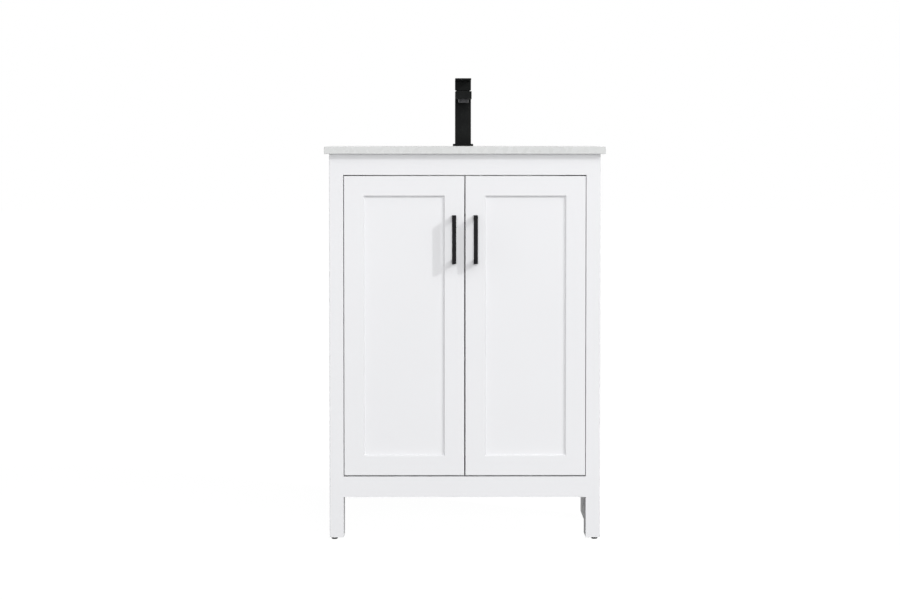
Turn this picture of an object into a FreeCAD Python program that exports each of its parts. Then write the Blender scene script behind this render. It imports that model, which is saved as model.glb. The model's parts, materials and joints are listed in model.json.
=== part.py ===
import FreeCAD, Part
import math
import os
from FreeCAD import Vector

# Bathroom vanity cabinet: millimetres, +Z up, the doors face -Y, +X to the right.
# The origin is on the floor, at the middle of the whole object's width and depth.

# ---- counter and overall size ----
COUNTER_WIDTH = 609.6
COUNTER_DEPTH = 488.6
COUNTER_THICK = 16.0
COUNTER_TOP = 860.0
COUNTER_EASE = 1.0
COUNTER_OVERHANG = 16.0          # past the cabinet's front
HANDLE_REACH = 33.0              # from the door's front to the handle's outer face
OVERALL_DEPTH = COUNTER_DEPTH + HANDLE_REACH - COUNTER_OVERHANG

BACK = OVERALL_DEPTH / 2
COUNTER_FRONT = BACK - COUNTER_DEPTH
FRONT = COUNTER_FRONT + COUNTER_OVERHANG      # the cabinet's and the doors' front plane
COUNTER_UNDER = COUNTER_TOP - COUNTER_THICK

# ---- cabinet ----
OPENING_WIDTH = 527.6
POST_WIDTH = 30.5
POST_DEPTH = 87.0
CABINET_DEPTH = 470.0
CABINET_BACK = FRONT + CABINET_DEPTH
INNER = OPENING_WIDTH / 2
OUTER = INNER + POST_WIDTH
LEG_EASE = 1.2
REAR_LEG_THICK = 19.0
REAR_LEG_DEPTH = 145.0
REAR_INNER = OUTER - REAR_LEG_THICK
SIDE_RECESS = 3.0
RAIL_THICK = 18.0
TOP_RAIL_HEIGHT = 45.5
BOTTOM_RAIL_LOW = 96.9
BOTTOM_RAIL_HEIGHT = 45.0
OPENING_LOW = BOTTOM_RAIL_LOW + BOTTOM_RAIL_HEIGHT
OPENING_HIGH = COUNTER_UNDER - TOP_RAIL_HEIGHT
BOARD_THICK = 15.0
BACK_PANEL_THICK = 6.0
BACK_RAIL_THICK = 16.0
BACK_TOP_RAIL_HEIGHT = 100.0
BACK_BOTTOM_RAIL_HEIGHT = 80.0
PANEL_FACE = CABINET_BACK - BACK_PANEL_THICK
BACK_RAIL_FACE = PANEL_FACE - BACK_RAIL_THICK
WALL_HOLE_R = 3.0
WALL_HOLE_SPACING = 406.4
CORNER_BLOCK_LEG = 55.0
CORNER_BLOCK_LOW = 812.0
CORNER_BLOCK_THICK = 18.0

# ---- levelling glides ----
GLIDE_R = 7.0
GLIDE_HEIGHT = 8.5
GLIDE_PIN_R = 1.5
GLIDE_PIN_LENGTH = 20.0
GLIDE_OUTWARD = 6.0              # from the post's middle line

# ---- shelf ----
SHELF_LOW = 384.5
SHELF_FRONT = -124.0
SHELF_REAR = 150.0
SHELF_SIDE_GAP = 1.8
SHELF_PIN_R = 2.5
SHELF_PIN_IN = 9.0
SHELF_PIN_OUT = 9.0
SHELF_PIN_COLLAR = 1.5
SHELF_PIN_Y = (-90.0, 85.0)
SHELF_HOLE_STEP = 32.0

# ---- doors ----
DOOR_SIDE_GAP = 1.25
DOOR_END_GAP = 2.2
DOOR_MID_GAP = 2.4
DOOR_THICK = 18.0
DOOR_MEMBER = 44.5               # width of stiles and rails
DOOR_EASE = 1.5
DOOR_BEVEL = 2.2
PANEL_DEPTH = 6.0
PANEL_THICK = 6.0
DOOR_WIDTH = (OPENING_WIDTH - 2 * DOOR_SIDE_GAP - DOOR_MID_GAP) / 2
DOOR_LOW = OPENING_LOW + DOOR_END_GAP
DOOR_HIGH = OPENING_HIGH - DOOR_END_GAP

# ---- handles ----
HANDLE_BAR = 9.0
HANDLE_LENGTH = 105.0
HANDLE_LOW = 606.5
HANDLE_EASE = 0.8
HANDLE_SCREW_R = 2.0
HANDLE_SCREW_IN = 9.0
SCREW_HEAD_R = 4.2
SCREW_HEAD_HEIGHT = 2.2

# ---- concealed hinges: u runs from the post's inner face into the opening, w from the front plane in ----
HINGE_END_DISTANCE = 90.0
PIVOT_U = 20.0
PIVOT_W = 8.0
HINGE_PIN_R = 1.0
HINGE_PIN_GAP = 0.05
KNUCKLE_R = 2.1
CUP_U = 25.0
CUP_R = 17.5
CUP_WALL = 0.8
CUP_FLOOR_W = 5.0
CUP_FLOOR_THICK = 0.6
CUP_FLANGE_THICK = 1.2
CUP_FLANGE_MARGIN = 6.5
CUP_SCREW_Z = 22.5
CUP_SCREW_U = 30.0
CUP_LUG_THICK = 2.6
LUG_SIDE_GAP = 0.6               # between the arm and the cup's lugs
ARM_HALF_WIDTH = 4.6
ARM_THICK = 1.8
ARM_LEG_U = 36.0
ARM_RUN_W = 31.0
PLATE_THICK = 1.5
PLATE_START_W = 34.0
PLATE_END_W = 72.0
PLATE_HALF_HEIGHT = 22.0
PLATE_SCREW_W = 55.0
PLATE_SCREW_Z = 16.0
WOOD_SCREW_R = 1.75
WOOD_SCREW_LENGTH = 14.0

# ---- basin ----
BASIN_Y = -15.0
BASIN_WIDTH = 430.0
BASIN_LENGTH = 300.0
BASIN_CORNER_R = 60.0
BASIN_DEPTH = 125.0
BASIN_WALL = 9.0
BASIN_FLOOR_R = 42.0
BASIN_FLANGE = 25.0
BASIN_FLANGE_THICK = 10.0
DRAIN_Y = BASIN_Y + 20.0
DRAIN_HOLE_R = 22.5
OVERFLOW_R = 10.0
OVERFLOW_Z = 806.0
BASIN_FLOOR = COUNTER_UNDER - BASIN_DEPTH
CLIP_X = 120.0
CLIP_SCREW_R = 2.5
CLIP_FOOT = 10.0
CLIP_HALF_WIDTH = 13.0
CLIP_THICK = 2.0

# ---- drain ----
FLANGE_R = 31.5
FLANGE_THICK = 2.5
SLEEVE_R = 21.0
SLEEVE_BORE_R = 18.0
SLEEVE_LENGTH = 58.0
GASKET_THICK = 7.0
DRAIN_NUT_HEIGHT = 11.0
TAIL_R = 15.9
TAIL_BORE_R = 14.6
TAIL_LOW = 566.5
STEM_R = 4.0
STEM_GAP = 0.05
STOPPER_R = 23.5
STOPPER_THICK = 4.0
STOPPER_GAP = 0.3

# ---- basin mixer ----
MIXER_Y = 200.0
MIXER_WIDTH = 36.5
MIXER_PLATE = 46.5
MIXER_PLATE_THICK = 5.0
MIXER_EASE = 0.8
SPOUT_TOP = 984.3
SPOUT_HEIGHT = 18.0
SPOUT_LENGTH = 115.0
AERATOR_R = 11.5
AERATOR_BORE_R = 8.5
AERATOR_DROP = 8.3
AERATOR_ROUND = 2.2
NECK_HEIGHT = 3.4
NECK_INSET = 2.6
NECK_GAP = 0.3
LEVER_TOP = 1014.8
LEVER_PLATE_THICK = 5.0
LEVER_REACH = 42.0
LEVER_PIVOT_Y = 12.0             # behind the column's middle
LEVER_PIVOT_UP = 5.0
LUG_HALF = 4.0
SHANK_R = 16.5
SHANK_LOW = 806.0
MIXER_HOLE_R = 17.5
WASHER_R = 24.0
WASHER_THICK = 4.0
NUT_HEIGHT = 8.0
PORT_R = 5.0                     # the two supply ports in the shank's lower end
PORT_X = 7.5
PORT_DEPTH = 20.0


def box(x0, y0, z0, x1, y1, z1):
    """Solid between two opposite corners, the lower one first."""
    return Part.makeBox(x1 - x0, y1 - y0, z1 - z0, Vector(x0, y0, z0))


def rod(radius, start, end):
    """Cylinder between two points."""
    run = end.sub(start)
    return Part.makeCylinder(radius, run.Length, start, run)


def upright(radius, x, y, low, high):
    """Vertical cylinder."""
    return rod(radius, Vector(x, y, low), Vector(x, y, high))


def hexagon(radius, x, y, low, high):
    """Upright six-sided prism; radius is to its corners."""
    corners = []
    for k in range(7):
        angle = math.radians(60 * k)
        corners.append(Vector(x + radius * math.cos(angle), y + radius * math.sin(angle), low))
    return Part.Face(Part.makePolygon(corners)).extrude(Vector(0, 0, high - low))


def mirrored(shape):
    """The same piece on the other side of the object's middle plane."""
    return shape.mirror(Vector(0, 0, 0), Vector(1, 0, 0))


def both_sides(shape):
    """The piece and its mirror image."""
    return [shape, mirrored(shape)]


def save(name, solids):
    """Write one node, made of one or more closed solids."""
    pieces = solids if isinstance(solids, list) else [solids]
    shape = pieces[0] if len(pieces) == 1 else Part.makeCompound(pieces)
    shape.exportStep("parts/" + name + ".step")
    print(name, len(shape.Solids), round(shape.Volume), shape.isValid())


def edges_along(shape, axis, keep=lambda middle: True):
    """Straight edges that run along an axis and whose middle passes a test."""
    chosen = []
    for edge in shape.Edges:
        if len(edge.Vertexes) != 2:
            continue
        run = edge.Vertexes[1].Point.sub(edge.Vertexes[0].Point)
        if run.Length > 0.5 and abs(run.dot(axis)) > 0.999 * run.Length and keep(edge.CenterOfMass):
            chosen.append(edge)
    return chosen


X_AXIS = Vector(1, 0, 0)
Y_AXIS = Vector(0, 1, 0)
Z_AXIS = Vector(0, 0, 1)


# ---- cabinet ----

def front_left_leg():
    """Post that is the face frame's stile above and the leg below."""
    post = box(-OUTER, FRONT, GLIDE_HEIGHT, -INNER, FRONT + POST_DEPTH, COUNTER_UNDER)
    corner = edges_along(post, Z_AXIS, lambda m: m.y < FRONT + 1 and m.x < -INNER - 1)
    post = post.makeFillet(LEG_EASE, corner)
    holes = [glide_pin(-OUTER + POST_WIDTH / 2 - GLIDE_OUTWARD, FRONT + POST_DEPTH / 2)]
    for z in hinge_heights():
        holes += [hinge_placed(screw, z) for screw in plate_screw_shanks()]
    return post.cut(Part.makeCompound(holes))


def rear_left_leg():
    leg = box(-OUTER, CABINET_BACK - REAR_LEG_DEPTH, GLIDE_HEIGHT, -REAR_INNER, CABINET_BACK, COUNTER_UNDER)
    corner = edges_along(leg, Z_AXIS, lambda m: m.x < -OUTER + 1 and m.y > CABINET_BACK - 1)
    leg = leg.makeFillet(LEG_EASE, corner)
    return leg.cut(glide_pin(-OUTER + REAR_LEG_THICK / 2, CABINET_BACK - REAR_LEG_DEPTH / 2))


def left_side_panel():
    """Board between the left legs, set in a little from their outer faces, with shelf pin holes."""
    panel = box(-OUTER + SIDE_RECESS, FRONT + POST_DEPTH, BOTTOM_RAIL_LOW,
                -REAR_INNER, CABINET_BACK - REAR_LEG_DEPTH, COUNTER_UNDER)
    for y in SHELF_PIN_Y:
        for step in (-1, 0, 1):
            z = SHELF_LOW - SHELF_PIN_R + step * SHELF_HOLE_STEP
            mouth = Vector(-REAR_INNER, y, z)
            panel = panel.cut(rod(SHELF_PIN_R, mouth.sub(Vector(SHELF_PIN_IN, 0, 0)), mouth))
    return panel


def front_rail(low, height):
    return box(-INNER, FRONT, low, INNER, FRONT + RAIL_THICK, low + height)


def bottom_panel():
    """Cupboard floor, narrower between the front posts."""
    top = OPENING_LOW
    front_part = box(-INNER, FRONT + RAIL_THICK, top - BOARD_THICK, INNER, FRONT + POST_DEPTH, top)
    rear_part = box(-REAR_INNER, FRONT + POST_DEPTH, top - BOARD_THICK, REAR_INNER, BACK_RAIL_FACE, top)
    return front_part.fuse(rear_part).removeSplitter()


def back_rail(low, height):
    return box(-REAR_INNER, BACK_RAIL_FACE, low, REAR_INNER, PANEL_FACE, low + height)


def wall_drilled(piece):
    """The piece with the two wall fixing holes through it."""
    z = COUNTER_UNDER - BACK_TOP_RAIL_HEIGHT / 2
    for x in (-WALL_HOLE_SPACING / 2, WALL_HOLE_SPACING / 2):
        hole = rod(WALL_HOLE_R, Vector(x, BACK_RAIL_FACE - 1, z), Vector(x, CABINET_BACK + 1, z))
        piece = piece.cut(hole)
    return piece


def back_top_rail():
    """Hanging rail behind the basin."""
    return wall_drilled(back_rail(COUNTER_UNDER - BACK_TOP_RAIL_HEIGHT, BACK_TOP_RAIL_HEIGHT))


def back_panel():
    """Thin board over the whole back, between the rear legs."""
    board = box(-REAR_INNER, PANEL_FACE, BOTTOM_RAIL_LOW, REAR_INNER, CABINET_BACK, COUNTER_UNDER)
    return wall_drilled(board)


def corner_block(x, y, toward_y):
    """Triangular block glued into a top corner; x is the left wall, y the front or back wall."""
    low = CORNER_BLOCK_LOW
    outline = [Vector(x, y, low), Vector(x + CORNER_BLOCK_LEG, y, low),
               Vector(x, y + toward_y * CORNER_BLOCK_LEG, low), Vector(x, y, low)]
    face = Part.Face(Part.makePolygon(outline))
    return face.extrude(Vector(0, 0, CORNER_BLOCK_THICK))


def corner_blocks():
    front_block = corner_block(-INNER, FRONT + RAIL_THICK, 1)
    rear_block = corner_block(-REAR_INNER, BACK_RAIL_FACE, -1)
    return both_sides(front_block) + both_sides(rear_block)


def shelf():
    half = REAR_INNER - SHELF_SIDE_GAP
    board = box(-half, SHELF_FRONT, SHELF_LOW, half, SHELF_REAR, SHELF_LOW + BOARD_THICK)
    return board.makeChamfer(0.8, edges_along(board, X_AXIS, lambda m: m.y < SHELF_FRONT + 1))


def shelf_pins():
    """Round pins with a collar: a peg in the side panel and a stub under the shelf."""
    pins = []
    z = SHELF_LOW - SHELF_PIN_R
    for y in SHELF_PIN_Y:
        wall = Vector(-REAR_INNER, y, z)
        peg = rod(SHELF_PIN_R, wall.sub(Vector(SHELF_PIN_IN, 0, 0)), wall.add(Vector(SHELF_PIN_OUT, 0, 0)))
        collar = rod(SHELF_PIN_R + SHELF_PIN_COLLAR, wall, wall.add(Vector(SHELF_PIN_COLLAR, 0, 0)))
        pins += both_sides(peg.fuse(collar))
    return pins


def glide_pin(x, y):
    return upright(GLIDE_PIN_R, x, y, GLIDE_HEIGHT, GLIDE_HEIGHT + GLIDE_PIN_LENGTH)


def leg_glides():
    """Four round feet, each on a pin in its leg."""
    places = [(-OUTER + POST_WIDTH / 2 - GLIDE_OUTWARD, FRONT + POST_DEPTH / 2),
              (-OUTER + REAR_LEG_THICK / 2, CABINET_BACK - REAR_LEG_DEPTH / 2)]
    glides = []
    for x, y in places:
        pad = upright(GLIDE_R, x, y, 0, GLIDE_HEIGHT)
        pad = pad.makeFillet(2.4, [edge for edge in pad.Edges if edge.CenterOfMass.z < 0.1 and edge.Closed])
        glides += both_sides(pad.fuse(glide_pin(x, y)))
    return glides


# ---- doors, built on the left side ----

def door_left():
    return -INNER + DOOR_SIDE_GAP


def door_right():
    return door_left() + DOOR_WIDTH


def panel_bevel():
    """Frustum that bevels the frame's inner front edges with mitred corners."""
    x0 = door_left() + DOOR_MEMBER
    x1 = door_right() - DOOR_MEMBER
    z0 = DOOR_LOW + DOOR_MEMBER
    z1 = DOOR_HIGH - DOOR_MEMBER

    def ring(grow, y):
        corners = [(x0 - grow, z0 - grow), (x1 + grow, z0 - grow),
                   (x1 + grow, z1 + grow), (x0 - grow, z1 + grow)]
        points = [Vector(x, y, z) for x, z in corners]
        return Part.makePolygon(points + points[:1])

    return Part.makeLoft([ring(DOOR_BEVEL, FRONT), ring(0, FRONT + DOOR_BEVEL)], True, True)


def door_board(x0, z0, x1, z1):
    """One frame member; edges on the door's outline are eased at the front."""
    board = box(x0, FRONT, z0, x1, FRONT + DOOR_THICK, z1)

    def outline(m):
        at_side = abs(m.x - door_left()) < 0.01 or abs(m.x - door_right()) < 0.01
        at_end = abs(m.z - DOOR_LOW) < 0.01 or abs(m.z - DOOR_HIGH) < 0.01
        return m.y < FRONT + 0.01 and (at_side or at_end)

    eased = edges_along(board, Z_AXIS, outline) + edges_along(board, X_AXIS, outline)
    return board.makeFillet(DOOR_EASE, eased).cut(panel_bevel())


def hinge_stile():
    """Outer stile, bored for the hinge cups and their screws."""
    stile = door_board(door_left(), DOOR_LOW, door_left() + DOOR_MEMBER, DOOR_HIGH)
    for z in hinge_heights():
        cup_bore = rod(CUP_R, Vector(CUP_U, CUP_FLOOR_W, 0), Vector(CUP_U, DOOR_THICK + 1, 0))
        for bore in [cup_bore] + cup_screw_shanks():
            stile = stile.cut(hinge_placed(bore, z))
    return stile


def lock_stile():
    """Inner stile, drilled for the handle's two screws."""
    stile = door_board(door_right() - DOOR_MEMBER, DOOR_LOW, door_right(), DOOR_HIGH)
    for z in handle_post_heights():
        start = Vector(handle_x(), FRONT - 1, z)
        stile = stile.cut(rod(HANDLE_SCREW_R, start, start.add(Vector(0, DOOR_THICK + 2, 0))))
    return stile


def door_rail(low):
    return door_board(door_left() + DOOR_MEMBER, low, door_right() - DOOR_MEMBER, low + DOOR_MEMBER)


def door_panel():
    return box(door_left() + DOOR_MEMBER, FRONT + PANEL_DEPTH, DOOR_LOW + DOOR_MEMBER,
               door_right() - DOOR_MEMBER, FRONT + PANEL_DEPTH + PANEL_THICK, DOOR_HIGH - DOOR_MEMBER)


def handle_x():
    return door_right() - DOOR_MEMBER / 2


def handle_post_heights():
    return (HANDLE_LOW + HANDLE_BAR / 2, HANDLE_LOW + HANDLE_LENGTH - HANDLE_BAR / 2)


def handle():
    """Square-section bar on two posts at its ends."""
    x0 = handle_x() - HANDLE_BAR / 2
    x1 = handle_x() + HANDLE_BAR / 2
    top = HANDLE_LOW + HANDLE_LENGTH
    face = FRONT - HANDLE_REACH
    block = box(x0, face, HANDLE_LOW, x1, FRONT, top)
    outer = edges_along(block, Y_AXIS)
    outer += edges_along(block, Z_AXIS, lambda m: m.y < face + 1)
    outer += edges_along(block, X_AXIS, lambda m: m.y < face + 1)
    grip = block.makeFillet(HANDLE_EASE, outer)
    grip = grip.cut(box(x0 - 1, face + HANDLE_BAR, HANDLE_LOW + HANDLE_BAR,
                        x1 + 1, FRONT + 1, top - HANDLE_BAR))
    for z in handle_post_heights():
        start = Vector(handle_x(), FRONT - HANDLE_SCREW_IN, z)
        grip = grip.cut(rod(HANDLE_SCREW_R, start, start.add(Vector(0, HANDLE_SCREW_IN + 1, 0))))
    return grip


def handle_screws():
    screws = []
    back = FRONT + DOOR_THICK
    for z in handle_post_heights():
        seat = Vector(handle_x(), back, z)
        shank = rod(HANDLE_SCREW_R, Vector(handle_x(), FRONT - HANDLE_SCREW_IN, z), seat)
        screws.append(shank.fuse(screw_head(seat, Y_AXIS, SCREW_HEAD_R, SCREW_HEAD_HEIGHT)))
    return screws


def screw_head(seat, outward, radius, height):
    """Pan head with a cross recess, standing on a seat point."""
    head = Part.makeCylinder(radius, height, seat, outward)
    rim = [e for e in head.Edges if e.Closed and e.CenterOfMass.sub(seat).Length > height / 2]
    head = head.makeFillet(height * 0.4, rim)
    top = seat.add(Vector(outward).multiply(height))
    across = outward.cross(Z_AXIS)
    for long_way, short_way in ((Z_AXIS, across), (across, Z_AXIS)):
        run = Vector(long_way).multiply(radius * 1.2)
        width = Vector(short_way).multiply(radius * 0.24)
        corner = top.sub(Vector(run).multiply(0.5)).sub(Vector(width).multiply(0.5))
        far = corner.add(run)
        slot = Part.makePolygon([corner, far, far.add(width), corner.add(width), corner])
        head = head.cut(Part.Face(slot).extrude(Vector(outward).multiply(-height * 0.45)))
    return head


# ---- concealed hinges: x is u and y is w until hinge_placed moves them ----

def hinge_heights():
    return (DOOR_LOW + HINGE_END_DISTANCE, DOOR_HIGH - HINGE_END_DISTANCE)


def hinge_placed(shape, height):
    """Move a hinge piece from its own u, w frame to the left side of the opening."""
    moved = shape.copy()
    moved.translate(Vector(-INNER, FRONT, height))
    return moved


def at_hinges(make):
    """Copies of a piece, or list of pieces, at both hinges of the left door."""
    pieces = make()
    pieces = pieces if isinstance(pieces, list) else [pieces]
    return [hinge_placed(piece, height) for height in hinge_heights() for piece in pieces]


def hinge_cup():
    """Pressed cup with a screw flange, and two lugs that hold the pin."""
    shell = rod(CUP_R, Vector(CUP_U, CUP_FLOOR_W, 0), Vector(CUP_U, DOOR_THICK, 0))
    face = DOOR_THICK + CUP_FLANGE_THICK
    half_height = CUP_SCREW_Z + CUP_FLANGE_MARGIN
    flange = box(CUP_U - 11, DOOR_THICK, -half_height, CUP_U + 19, face, half_height)
    flange = flange.makeFillet(6, edges_along(flange, Y_AXIS))
    hollow = rod(CUP_R - CUP_WALL,
                 Vector(CUP_U, CUP_FLOOR_W + CUP_FLOOR_THICK, 0), Vector(CUP_U, face + 1, 0))
    cup = shell.fuse(flange).cut(hollow)
    for side in (-1, 1):
        inner = ARM_HALF_WIDTH + LUG_SIDE_GAP
        z0, z1 = sorted((side * inner, side * (inner + CUP_LUG_THICK)))
        lug = box(PIVOT_U - 2.6, CUP_FLOOR_W, z0, PIVOT_U + 2.6, PIVOT_W + 2.6, z1)
        cup = cup.fuse(lug)
    pin_hole = rod(HINGE_PIN_R, Vector(PIVOT_U, PIVOT_W, -CUP_R), Vector(PIVOT_U, PIVOT_W, CUP_R))
    cup = cup.cut(pin_hole.common(box(PIVOT_U - 3, CUP_FLOOR_W, -9, PIVOT_U + 3, DOOR_THICK, 9)))
    for screw in cup_screw_shanks():
        cup = cup.cut(screw)
    return cup.removeSplitter()


def hinge_pin():
    reach = ARM_HALF_WIDTH + LUG_SIDE_GAP + CUP_LUG_THICK
    return rod(HINGE_PIN_R, Vector(PIVOT_U, PIVOT_W, -reach), Vector(PIVOT_U, PIVOT_W, reach))


def cup_screw_shanks():
    """Shank volumes of a cup's two screws, from the flange's outer face into the stile."""
    seats = [Vector(CUP_SCREW_U, DOOR_THICK + CUP_FLANGE_THICK, z) for z in (-CUP_SCREW_Z, CUP_SCREW_Z)]
    return [rod(WOOD_SCREW_R, seat, seat.sub(Vector(0, WOOD_SCREW_LENGTH, 0))) for seat in seats]


def cup_screws():
    start = DOOR_THICK + CUP_FLANGE_THICK
    heads = [screw_head(Vector(CUP_SCREW_U, start, z), Y_AXIS, 3.4, 1.8) for z in (-CUP_SCREW_Z, CUP_SCREW_Z)]
    return [shank.fuse(head) for shank, head in zip(cup_screw_shanks(), heads)]


def hinge_arm():
    """Gooseneck strip: knuckle in the cup, out of its mouth and back to the post."""
    half = ARM_THICK / 2
    width = ARM_HALF_WIDTH
    foot_start = PLATE_THICK
    into_cup = box(PIVOT_U, PIVOT_W - half, -width, ARM_LEG_U + half, PIVOT_W + half, width)
    leg = box(ARM_LEG_U - half, PIVOT_W - half, -width, ARM_LEG_U + half, ARM_RUN_W + half, width)
    run = box(foot_start, ARM_RUN_W - half, -width, ARM_LEG_U + half, ARM_RUN_W + half, width)
    foot = box(foot_start, ARM_RUN_W - half, -width, foot_start + ARM_THICK, PLATE_END_W - 4, width)
    strip = into_cup.fuse(leg).fuse(run).fuse(foot).removeSplitter()
    strip = strip.makeFillet(2.2, edges_along(strip, Z_AXIS, lambda m: m.x > ARM_LEG_U + half - 0.01))
    knuckle = rod(KNUCKLE_R, Vector(PIVOT_U, PIVOT_W, -width), Vector(PIVOT_U, PIVOT_W, width))
    bore = rod(HINGE_PIN_R + HINGE_PIN_GAP,
               Vector(PIVOT_U, PIVOT_W, -width - 1), Vector(PIVOT_U, PIVOT_W, width + 1))
    return strip.fuse(knuckle).cut(bore).removeSplitter()


def hinge_plate():
    """Flat plate screwed to the post's inner face."""
    plate = box(0, PLATE_START_W, -PLATE_HALF_HEIGHT, PLATE_THICK, PLATE_END_W, PLATE_HALF_HEIGHT)
    plate = plate.makeFillet(5, edges_along(plate, X_AXIS))
    for screw in plate_screw_shanks():
        plate = plate.cut(screw)
    return plate


def plate_screw_shanks():
    return [rod(WOOD_SCREW_R, Vector(PLATE_THICK, PLATE_SCREW_W, z),
                Vector(PLATE_THICK - WOOD_SCREW_LENGTH, PLATE_SCREW_W, z))
            for z in (-PLATE_SCREW_Z, PLATE_SCREW_Z)]


def plate_screws():
    heads = [screw_head(Vector(PLATE_THICK, PLATE_SCREW_W, z), X_AXIS, 3.4, 1.8)
             for z in (-PLATE_SCREW_Z, PLATE_SCREW_Z)]
    return [shank.fuse(head) for shank, head in zip(plate_screw_shanks(), heads)]


# ---- counter and basin ----

def rounded_block(half_x, half_y, corner_r, low, high):
    """Upright block about the basin's middle, with rounded corners."""
    block = box(-half_x, BASIN_Y - half_y, low, half_x, BASIN_Y + half_y, high)
    return block.makeFillet(corner_r, edges_along(block, Z_AXIS))


def rounded_bowl(grow, low, high):
    """The bowl's inside, or its outside when grown by the wall."""
    block = rounded_block(BASIN_WIDTH / 2 + grow, BASIN_LENGTH / 2 + grow, BASIN_CORNER_R + grow, low, high)
    floor_edges = [edge for edge in block.Edges if abs(edge.BoundBox.ZMax - low) < 0.01]
    return block.makeFillet(BASIN_FLOOR_R + grow, floor_edges)


def countertop():
    slab = box(-COUNTER_WIDTH / 2, COUNTER_FRONT, COUNTER_UNDER, COUNTER_WIDTH / 2, BACK, COUNTER_TOP)
    edges = [edge for axis in (X_AXIS, Y_AXIS, Z_AXIS) for edge in edges_along(slab, axis)]
    slab = slab.makeFillet(COUNTER_EASE, edges)
    slab = slab.cut(rounded_block(BASIN_WIDTH / 2, BASIN_LENGTH / 2, BASIN_CORNER_R,
                                  COUNTER_UNDER - 1, COUNTER_TOP + 1))
    rim = [edge for edge in slab.Edges
           if abs(edge.BoundBox.ZMin - COUNTER_TOP) < 0.01
           and abs(edge.CenterOfMass.x) < BASIN_WIDTH / 2 + 1
           and abs(edge.CenterOfMass.y - BASIN_Y) < BASIN_LENGTH / 2 + 1]
    slab = slab.makeFillet(COUNTER_EASE * 2, rim)
    slab = slab.cut(upright(MIXER_HOLE_R, 0, MIXER_Y, COUNTER_UNDER - 1, COUNTER_TOP + 1))
    for shank in clip_screw_shanks():
        slab = slab.cut(shank)
    return slab


def overflow_wall():
    return BASIN_Y - BASIN_LENGTH / 2


def basin():
    """Undermount bowl with a flange, a drain hole and an overflow hole in its front wall."""
    outside = rounded_bowl(BASIN_WALL, BASIN_FLOOR - BASIN_WALL, COUNTER_UNDER)
    flange = rounded_block(BASIN_WIDTH / 2 + BASIN_FLANGE, BASIN_LENGTH / 2 + BASIN_FLANGE,
                           BASIN_CORNER_R + BASIN_FLANGE, COUNTER_UNDER - BASIN_FLANGE_THICK, COUNTER_UNDER)
    inside = rounded_bowl(0, BASIN_FLOOR, COUNTER_UNDER + 60)
    shell = outside.fuse(flange).cut(inside)
    shell = shell.cut(upright(DRAIN_HOLE_R, 0, DRAIN_Y, BASIN_FLOOR - 20, BASIN_FLOOR + 5))
    hole_start = Vector(0, overflow_wall() - BASIN_WALL - 1, OVERFLOW_Z)
    return shell.cut(rod(OVERFLOW_R, hole_start, hole_start.add(Vector(0, BASIN_WALL + 2, 0))))


def overflow_ring():
    """Trim ring pressed into the overflow hole."""
    front = overflow_wall()
    back = front - BASIN_WALL
    tube = rod(OVERFLOW_R, Vector(0, back, OVERFLOW_Z), Vector(0, front, OVERFLOW_Z))
    lip = rod(OVERFLOW_R + 3, Vector(0, front, OVERFLOW_Z), Vector(0, front + 1.6, OVERFLOW_Z))
    lip = lip.makeFillet(0.9, [edge for edge in lip.Edges if edge.Closed and edge.CenterOfMass.y > front + 1])
    hole = rod(OVERFLOW_R - 1.5, Vector(0, back - 1, OVERFLOW_Z), Vector(0, front + 5, OVERFLOW_Z))
    return tube.fuse(lip).cut(hole)


def overflow_duct():
    """Cap outside the bowl's front wall that leads overflow water down."""
    wall = overflow_wall() - BASIN_WALL
    low = BASIN_FLOOR + BASIN_FLOOR_R + 4
    cap = box(-24, wall - 12, low, 24, wall, OVERFLOW_Z + 20)
    cap = cap.makeFillet(5, edges_along(cap, Y_AXIS))
    return cap.cut(box(-19, wall - 8, low + 4, 19, wall + 1, OVERFLOW_Z + 15))


def clip_places():
    """Outer edge points of the basin's flange where a clip holds it: x, y and the way out."""
    edge = BASIN_LENGTH / 2 + BASIN_FLANGE
    return [(x, BASIN_Y + side * edge, side) for x in (-CLIP_X, CLIP_X) for side in (-1, 1)]


def clip_screw_shanks():
    return [upright(CLIP_SCREW_R, x, y + side * CLIP_FOOT / 2, COUNTER_UNDER - 14, COUNTER_UNDER + 10)
            for x, y, side in clip_places()]


def basin_clips():
    """Bent clips: a foot against the counter and a leaf under the basin's flange."""
    clips = []
    under = COUNTER_UNDER - BASIN_FLANGE_THICK
    for (x, y, side), shank in zip(clip_places(), clip_screw_shanks()):
        y0, y1 = sorted((y - side * 12, y + side * CLIP_FOOT))
        f0, f1 = sorted((y + side * 0.4, y + side * CLIP_FOOT))
        leaf = box(x - CLIP_HALF_WIDTH, y0, under - CLIP_THICK, x + CLIP_HALF_WIDTH, y1, under)
        foot = box(x - CLIP_HALF_WIDTH, f0, under, x + CLIP_HALF_WIDTH, f1, COUNTER_UNDER)
        clips.append(leaf.fuse(foot).cut(shank).removeSplitter())
    return clips


def basin_clip_screws():
    """Hexagon-headed screws up through the clips into the counter."""
    screws = []
    under = COUNTER_UNDER - BASIN_FLANGE_THICK - CLIP_THICK
    for (x, y, side), shank in zip(clip_places(), clip_screw_shanks()):
        screws.append(shank.fuse(hexagon(4, x, y + side * CLIP_FOOT / 2, under - 4, under)))
    return screws


# ---- drain ----

def drain_ring(outer, inner, low, high):
    return upright(outer, 0, DRAIN_Y, low, high).cut(upright(inner, 0, DRAIN_Y, low - 1, high + 1))


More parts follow.
